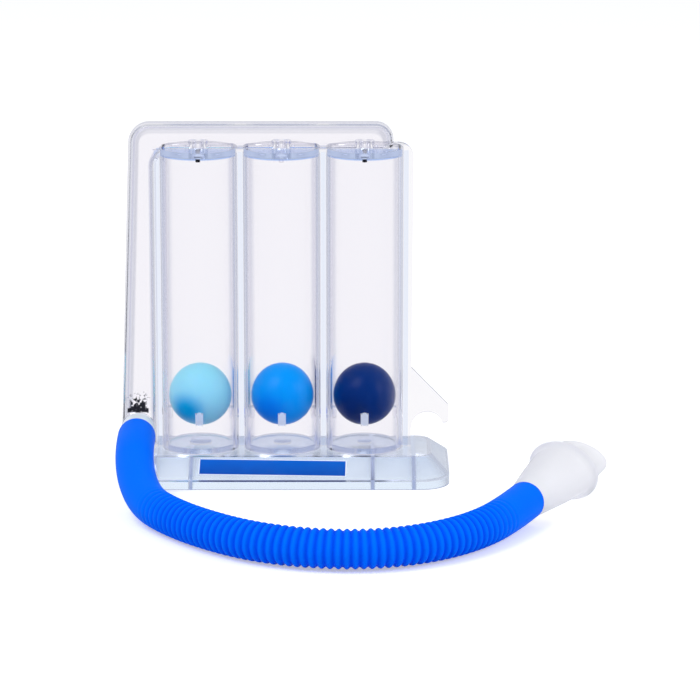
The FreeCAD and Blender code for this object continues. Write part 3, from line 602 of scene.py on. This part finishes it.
def clearPolystyrene(name, look, finish, marks):
    material, tree = newMaterial(name)
    place = addNode(tree, "ShaderNodeTexCoord", {}, {})
    waves = addNode(tree, "ShaderNodeTexNoise", {}, {
        "Vector": place.outputs["Object"], "Scale": 1 / (look["wavinessMm"] * mm), "Detail": 1.0,
    })
    gloss = addNode(tree, "ShaderNodeMapRange", {}, {
        "Value": waves.outputs["Fac"], "To Min": finish["smooth"], "To Max": finish["dull"],
    }).outputs["Result"]
    bump = addNode(tree, "ShaderNodeBump", {}, {
        "Height": waves.outputs["Fac"], "Distance": look["wavinessDepthMm"] * mm,
    })
    colour, through = toLinear(finish["tint"]), finish["through"]
    if "lipTint" in finish:
        # the thin upright lip has less colour than the slope, and the flat top hardly any
        z = addNode(tree, "ShaderNodeSeparateXYZ", {}, {0: place.outputs["Object"]}).outputs["Z"]
        lip = window(tree, z, 0, finish["lipHeight"], finish["lipSoft"])
        top = addNode(tree, "ShaderNodeMath", {"operation": "GREATER_THAN"}, {
            0: z, 1: finish["topHeight"] * mm,
        })
        colour = layTints(tree, colour, [
            (lip, finish["lipTint"]), (top.outputs[0], finish["topTint"]),
        ])
    if marks:
        masks = findMarks(tree, place, marks)
        # the rim, corner and cap tints and the dark specks are painted shade
        colour = layTints(tree, colour, [(masks[mark], marks[mark]["tint"]) for mark in masks])
        frostAndShade = joinMasks(tree, "MAXIMUM", masks["lug"], masks["paintedShade"])
        through = addNode(tree, "ShaderNodeMapRange", {}, {
            "Value": frostAndShade, "To Min": finish["through"], "To Max": look["coveredThrough"],
        }).outputs["Result"]
        dulled = joinMasks(tree, "MULTIPLY", frostAndShade, look["coveredDull"])
        gloss = joinMasks(tree, "MAXIMUM", gloss, dulled)
    plastic = addNode(tree, "ShaderNodeBsdfPrincipled", {}, {
        "Base Color": colour, "IOR": look["ior"], "Transmission Weight": through,
        "Roughness": gloss, "Normal": bump.outputs["Normal"],
        "Specular Tint": (look["mirror"],) * 3 + (1,),
    })
    # light that has turned back and forth inside too often is let out
    ray = addNode(tree, "ShaderNodeLightPath", {}, {})
    deep = addNode(tree, "ShaderNodeMath", {"operation": "GREATER_THAN"}, {
        0: ray.outputs["Ray Depth"], 1: look["mostBounces"],
    })
    turned = addNode(tree, "ShaderNodeMath", {"operation": "GREATER_THAN"}, {
        0: ray.outputs["Glossy Depth"], 1: finish["mostMirrored"],
    })
    surface = letLightPast(
        tree, plastic, look["shadowTint"], ray, deep.outputs[0], turned.outputs[0],
    )
    cast = addNode(tree, "ShaderNodeVolumeAbsorption", {}, {
        "Color": toLinear(finish["cast"]), "Density": finish["density"],
    })
    addNode(tree, "ShaderNodeOutputMaterial", {}, {
        "Surface": surface.outputs[0], "Volume": cast.outputs[0],
    })
    return material


for part, piece, marks in (
    ("body", clearBody, bodyMarks),
    ("base", nodes["base"], None),
    ("port", nodes["hose_port"], None),
):
    name = f"clearPolystyrene{part.capitalize()}"
    wear(piece, clearPolystyrene(name, polystyreneLook, polystyreneLook[part], marks))
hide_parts("front_shell", "back_shell")
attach(clearBody, "body")
print("stage: clear polystyrene on body, base and port")

# blown low density polythene in strong blue: waxy, with hardly any shine, and a little light
# passes under the skin. The real grain is too fine to show, so it is drawn coarser
hoseLook = {
    "crest": "#0072FF",
    "valleyDepthAndShade": "#004CEC",
    "roughness": 0.42,
    "ior": 1.5,
    "specular": 0.01,
    "grainMm": 0.35,
    "grainDepthMm": 0.02,
    "grainStrength": 0.4,
    "mottleMm": 14.0,
    "mottle": "#0062FF",
    "mottleShare": 0.25,
    "scatter": 0.01,
    "scatterMm": 1.2,
}


def bluePolythene(look):
    material, tree = newMaterial("blueBlownPolythene")
    place = addNode(tree, "ShaderNodeTexCoord", {}, {})
    valleyDepthAndShade = addNode(tree, "ShaderNodeAttribute", {"attribute_name": "valleyDepthAndShade"}, {})
    patches = addNode(tree, "ShaderNodeTexNoise", {}, {
        "Vector": place.outputs["Object"], "Scale": 1 / (look["mottleMm"] * mm), "Detail": 2.0,
    })
    share = addNode(tree, "ShaderNodeMath", {"operation": "MULTIPLY"}, {
        0: patches.outputs["Fac"], 1: look["mottleShare"],
    })
    # painted shade: the valleys between the ribs are painted a deeper blue; the noise patches are
    # random tone
    colour = layTints(tree, toLinear(look["crest"]), [
        (valleyDepthAndShade.outputs["Fac"], look["valleyDepthAndShade"]), (share.outputs[0], look["mottle"]),
    ])
    plastic = addNode(tree, "ShaderNodeBsdfPrincipled", {}, {
        "Base Color": colour, "Roughness": look["roughness"], "IOR": look["ior"],
        "Specular IOR Level": look["specular"],
        "Subsurface Weight": look["scatter"], "Subsurface Scale": look["scatterMm"] * mm,
        "Normal": fineGrain(tree, place, look).outputs["Normal"],
    })
    addNode(tree, "ShaderNodeOutputMaterial", {}, {"Surface": plastic.outputs[0]})
    return material


wear(hose, bluePolythene(hoseLook))
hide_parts("hose")
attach(hose, "body")

# unpigmented polythene: milky and matt, it lets light through but blurs what is behind it. Its
# grain is drawn coarser too
mouthLook = {
    "colour": "#FDFDFF",
    "roughness": 0.5,
    "ior": 1.5,
    "through": 0.62,
    "grainMm": 0.5,
    "grainDepthMm": 0.02,
    "grainStrength": 0.3,
    "shadowTint": "#F6F6F8",
}


def frostedPolythene(look):
    material, tree = newMaterial("frostedPolythene")
    place = addNode(tree, "ShaderNodeTexCoord", {}, {})
    plastic = addNode(tree, "ShaderNodeBsdfPrincipled", {}, {
        "Base Color": toLinear(look["colour"]), "Roughness": look["roughness"],
        "IOR": look["ior"], "Transmission Weight": look["through"],
        "Normal": fineGrain(tree, place, look).outputs["Normal"],
    })
    ray = addNode(tree, "ShaderNodeLightPath", {}, {})
    surface = letLightPast(tree, plastic, look["shadowTint"], ray)
    addNode(tree, "ShaderNodeOutputMaterial", {}, {"Surface": surface.outputs[0]})
    return material


wear(mouthpiece, frostedPolythene(mouthLook))
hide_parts("mouthpiece")
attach(mouthpiece, "mouthpiece")
print("stage: hose and mouthpiece dressed")

# moulded polypropylene balls, a little waxy, each with the fine line where its halves meet and
# a deeper patch low on the left, as the photograph has it
ballLook = {
    "ball_pale_blue": {
        "colour": "#A0ECFF", "patch": "#00B8EA", "patchShare": 1.0,
        "roughness": 0.3, "scatter": 0.3,
    },
    "ball_blue": {
        "colour": "#00A2FF", "patch": "#0078F5", "patchShare": 0.6,
        "roughness": 0.28, "scatter": 0.1,
    },
    "ball_navy": {
        "colour": "#002E74", "patch": "#002260", "patchShare": 0.5,
        "roughness": 0.28, "scatter": 0.0,
    },
}
ballMoulding = {
    "ior": 1.49,
    "specular": 0.08,
    "scatterMm": 2.0,
    "seamWidthMm": 0.25,
    "seamDepthMm": 0.05,
    "seamStrength": 0.6,
    "patchPlaceMm": (-4.5, -9.5, -4.0),
    "patchSizeMm": 9.0,
    "patchCore": 0.2,
}


def ballPlastic(name, look, moulding):
    material, tree = newMaterial(f"{name}Polypropylene")
    low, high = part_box(name)
    place = addNode(tree, "ShaderNodeTexCoord", {}, {})
    fromCentre = addNode(tree, "ShaderNodeVectorMath", {"operation": "SUBTRACT"}, {
        0: place.outputs["Object"], 1: (low + high) / 2,
    })
    fromPatch = addNode(tree, "ShaderNodeVectorMath", {"operation": "DISTANCE"}, {
        0: fromCentre.outputs[0], 1: Vector(moulding["patchPlaceMm"]) * mm,
    })
    size = moulding["patchSizeMm"] * mm
    patch = addNode(tree, "ShaderNodeMapRange", {"interpolation_type": "SMOOTHSTEP"}, {
        "Value": fromPatch.outputs["Value"],
        "From Min": moulding["patchCore"] * size, "From Max": size,
        "To Min": look["patchShare"], "To Max": 0.0,
    })
    colour = layTints(tree, toLinear(look["colour"]), [(patch.outputs["Result"], look["patch"])])
    parts = addNode(tree, "ShaderNodeSeparateXYZ", {}, {0: fromCentre.outputs[0]})
    fromSeam = addNode(tree, "ShaderNodeMath", {"operation": "ABSOLUTE"}, {0: parts.outputs["X"]})
    seam = addNode(tree, "ShaderNodeMapRange", {"interpolation_type": "SMOOTHSTEP"}, {
        "Value": fromSeam.outputs[0], "From Max": moulding["seamWidthMm"] * mm,
    })
    bump = addNode(tree, "ShaderNodeBump", {}, {
        "Height": seam.outputs["Result"], "Distance": moulding["seamDepthMm"] * mm,
        "Strength": moulding["seamStrength"],
    })
    plastic = addNode(tree, "ShaderNodeBsdfPrincipled", {}, {
        "Base Color": colour, "Roughness": look["roughness"], "IOR": moulding["ior"],
        "Specular IOR Level": moulding["specular"], "Subsurface Weight": look["scatter"],
        "Subsurface Scale": moulding["scatterMm"] * mm, "Normal": bump.outputs["Normal"],
    })
    addNode(tree, "ShaderNodeOutputMaterial", {}, {"Surface": plastic.outputs[0]})
    return material


for name, look in ballLook.items():
    wear(nodes[name], ballPlastic(name, look, ballMoulding))
print("stage: balls dressed")

# white polypropylene film with one flat print of blue, bare of words, and a white edge left free
labelLook = {
    "print": "#0068D4",
    "printShadedAndMottled": "#0046A6",
    "mottleShare": 0.3,
    "mottleMm": 5.0,
    "film": "#F4FAFF",
    "border": 0.4,
    "halfLength": 29.3,
    "halfWidth": 4.9,
    "skew": 1.2,
    "slopeRise": 6.5,
    "slopeRun": 13.6,
    "roughness": 0.32,
    "specular": 0.12,
}


def printedFilm(look):
    material, tree = newMaterial("printedFilmLabel")
    low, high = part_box("label")
    slope = math.atan2(look["slopeRise"], look["slopeRun"])
    skew = math.radians(look["skew"])
    uphill = Vector((0, math.cos(slope), math.sin(slope)))
    along = Vector((1, 0, 0)) * math.cos(skew) - uphill * math.sin(skew)
    across = Vector((1, 0, 0)) * math.sin(skew) + uphill * math.cos(skew)
    place = addNode(tree, "ShaderNodeTexCoord", {}, {})
    local = addNode(tree, "ShaderNodeVectorMath", {"operation": "SUBTRACT"}, {
        0: place.outputs["Object"], 1: (low + high) / 2,
    })
    lengthwise, upward = [
        addNode(tree, "ShaderNodeVectorMath", {"operation": "DOT_PRODUCT"}, {
            0: local.outputs[0], 1: direction,
        }).outputs["Value"]
        for direction in (along, across)
    ]
    insets = []
    for reach, half in ((lengthwise, look["halfLength"]), (upward, look["halfWidth"])):
        far = addNode(tree, "ShaderNodeMath", {"operation": "ABSOLUTE"}, {0: reach})
        inset = addNode(tree, "ShaderNodeMath", {"operation": "SUBTRACT"}, {
            0: half * mm, 1: far.outputs[0],
        })
        insets.append(inset.outputs[0])
    inked = addNode(tree, "ShaderNodeMath", {"operation": "GREATER_THAN"}, {
        0: joinMasks(tree, "MINIMUM", *insets), 1: look["border"] * mm,
    })
    # painted highlight: the print is paler towards its upper edge and deeper towards the lower
    # edge; the noise makes the ink a little uneven as well
    mottle = addNode(tree, "ShaderNodeTexNoise", {}, {
        "Vector": place.outputs["Object"], "Scale": 1 / (look["mottleMm"] * mm), "Detail": 3.0,
    })
    towardsShadedEdge = addNode(tree, "ShaderNodeMapRange", {}, {
        "Value": upward, "From Min": -look["halfWidth"] * mm,
        "From Max": look["halfWidth"] * mm, "To Min": 1.0, "To Max": 0.0,
    })
    shadeAndMottle = addNode(tree, "ShaderNodeMix", {"data_type": "FLOAT"}, {
        "Factor": look["mottleShare"], "A": towardsShadedEdge.outputs["Result"], "B": mottle.outputs["Fac"],
    })
    ink = layTints(tree, toLinear(look["print"]), [(shadeAndMottle.outputs[0], look["printShadedAndMottled"])])
    colour = addNode(tree, "ShaderNodeMix", {"data_type": "RGBA"}, {
        "Factor": inked.outputs[0], firstColour: toLinear(look["film"]), secondColour: ink,
    })
    film = addNode(tree, "ShaderNodeBsdfPrincipled", {}, {
        "Base Color": colour.outputs[mixedColour], "Roughness": look["roughness"],
        "Specular IOR Level": look["specular"],
    })
    addNode(tree, "ShaderNodeOutputMaterial", {}, {"Surface": film.outputs[0]})
    return material


wear(nodes["label"], printedFilm(labelLook))
print("stage: label dressed")

# plain pale table in a white room, one soft lamp at the upper left and a weaker one at the right
studio = {
    "floorSize": 8.0,
    "floorDrop": 0.3,
    "floorColour": "#F4F4F6",
    "lift": 0.4,
    "worldColour": "#F2F4FA",
    "worldLight": 0.62,
    # what clear plastic and gloss show: a white room, shaded in its corners, above and below
    "white": "#FFFFFF",
    "shade": "#E5E6ED",
    "halfShade": "#F0F1F6",
    "glossLight": 0.85,
    # from the middle of a wall into the corner
    "intoCorner": [
        (0.0, "white"), (0.2, "white"), (0.3, "shade"), (0.42, "shade"), (0.5, "halfShade"),
    ],
    # from straight below to straight above
    "upwards": [
        (0.0, "white"), (0.07, "white"), (0.12, "shade"), (0.17, "shade"), (0.22, "white"),
        (0.5, "white"), (0.66, "shade"), (0.8, "shade"), (0.95, "white"),
    ],
    "lamps": {
        "topLeft": {"place": (-0.7, -0.7, 1.3), "size": 0.9, "power": 11.0},
        "right": {"place": (1.2, -0.5, 0.7), "size": 0.8, "power": 6.0},
    },
}


def layFloor(look):
    mesh = bmesh.new()
    half = look["floorSize"] / 2
    corners = [(-half, -half), (half, -half), (half, half), (-half, half)]
    mesh.faces.new([mesh.verts.new((x, y, -look["floorDrop"] * mm)) for x, y in corners])
    floor = newPiece("floor", mesh)
    material, tree = newMaterial("paleFloor")
    matt = addNode(tree, "ShaderNodeBsdfDiffuse", {}, {"Color": toLinear(look["floorColour"])})
    ray = addNode(tree, "ShaderNodeLightPath", {}, {})
    strength = addNode(tree, "ShaderNodeMath", {"operation": "MULTIPLY"}, {
        0: ray.outputs["Is Camera Ray"], 1: look["lift"],
    })
    glow = addNode(tree, "ShaderNodeEmission", {}, {"Strength": strength.outputs[0]})
    both = addNode(tree, "ShaderNodeAddShader", {}, {0: matt.outputs[0], 1: glow.outputs[0]})
    # rays that come through the plastic or off its gloss go on to the room behind
    beyond = addNode(tree, "ShaderNodeBsdfTransparent", {}, {})
    indirect = joinMasks(
        tree, "MAXIMUM", ray.outputs["Is Transmission Ray"], ray.outputs["Is Glossy Ray"],
    )
    surface = addNode(tree, "ShaderNodeMixShader", {}, {
        0: indirect, 1: both.outputs[0], 2: beyond.outputs[0],
    })
    addNode(tree, "ShaderNodeOutputMaterial", {}, {"Surface": surface.outputs[0]})
    wear(floor, material)


def setStops(ramp, stops, look):
    marks = ramp.color_ramp.elements
    while len(marks) < len(stops):
        marks.new(1.0)
    for mark, (place, colour) in zip(marks, stops):
        mark.position, mark.color = place, toLinear(look[colour])


def lightWorld(look):
    world = bpy.data.worlds.new("studio")
    bpy.context.scene.world = world
    world.use_nodes = True
    tree = world.node_tree
    tree.nodes.clear()
    ray = addNode(tree, "ShaderNodeLightPath", {}, {})
    place = addNode(tree, "ShaderNodeTexCoord", {}, {})
    parts = addNode(tree, "ShaderNodeSeparateXYZ", {}, {0: place.outputs["Generated"]})
    product = addNode(tree, "ShaderNodeMath", {"operation": "MULTIPLY"}, {
        0: parts.outputs["X"], 1: parts.outputs["Y"],
    })
    corner = addNode(tree, "ShaderNodeMath", {"operation": "ABSOLUTE"}, {0: product.outputs[0]})
    walls = addNode(tree, "ShaderNodeValToRGB", {}, {0: corner.outputs[0]})
    setStops(walls, look["intoCorner"], look)
    height = addNode(tree, "ShaderNodeMapRange", {}, {
        "Value": parts.outputs["Z"], "From Min": -1.0,
    })
    rise = addNode(tree, "ShaderNodeValToRGB", {}, {0: height.outputs["Result"]})
    setStops(rise, look["upwards"], look)
    room = addNode(tree, "ShaderNodeMix", {"data_type": "RGBA", "blend_type": "DARKEN"}, {
        "Factor": 1.0, firstColour: walls.outputs["Color"], secondColour: rise.outputs["Color"],
    }).outputs[mixedColour]
    white, roomLook, roomInGloss, soft = [
        addNode(tree, "ShaderNodeBackground", {}, {"Color": colour, "Strength": strength})
        for colour, strength in (
            (toLinear(look["white"]), 1.0), (room, 1.0), (room, look["glossLight"]),
            (toLinear(look["worldColour"]), look["worldLight"]),
        )
    ]
    shown = soft
    for rays, light in (
        ("Is Glossy Ray", roomInGloss), ("Is Transmission Ray", roomLook), ("Is Camera Ray", white),
    ):
        shown = addNode(tree, "ShaderNodeMixShader", {}, {
            0: ray.outputs[rays], 1: shown.outputs[0], 2: light.outputs[0],
        })
    addNode(tree, "ShaderNodeOutputWorld", {}, {"Surface": shown.outputs[0]})


def hangLamps(look):
    aim = (cadLow + cadHigh) / 2
    for name, lamp in look["lamps"].items():
        light = bpy.data.lights.new(name, "AREA")
        light.size = lamp["size"]
        light.energy = lamp["power"]
        holder = bpy.data.objects.new(name, light)
        bpy.context.scene.collection.objects.link(holder)
        holder.location = lamp["place"]
        holder.rotation_euler = (aim - holder.location).to_track_quat("-Z", "Y").to_euler()


layFloor(studio)
lightWorld(studio)
hangLamps(studio)
bpy.context.scene.view_settings.view_transform = "Standard"
print("stage: floor and lights set")
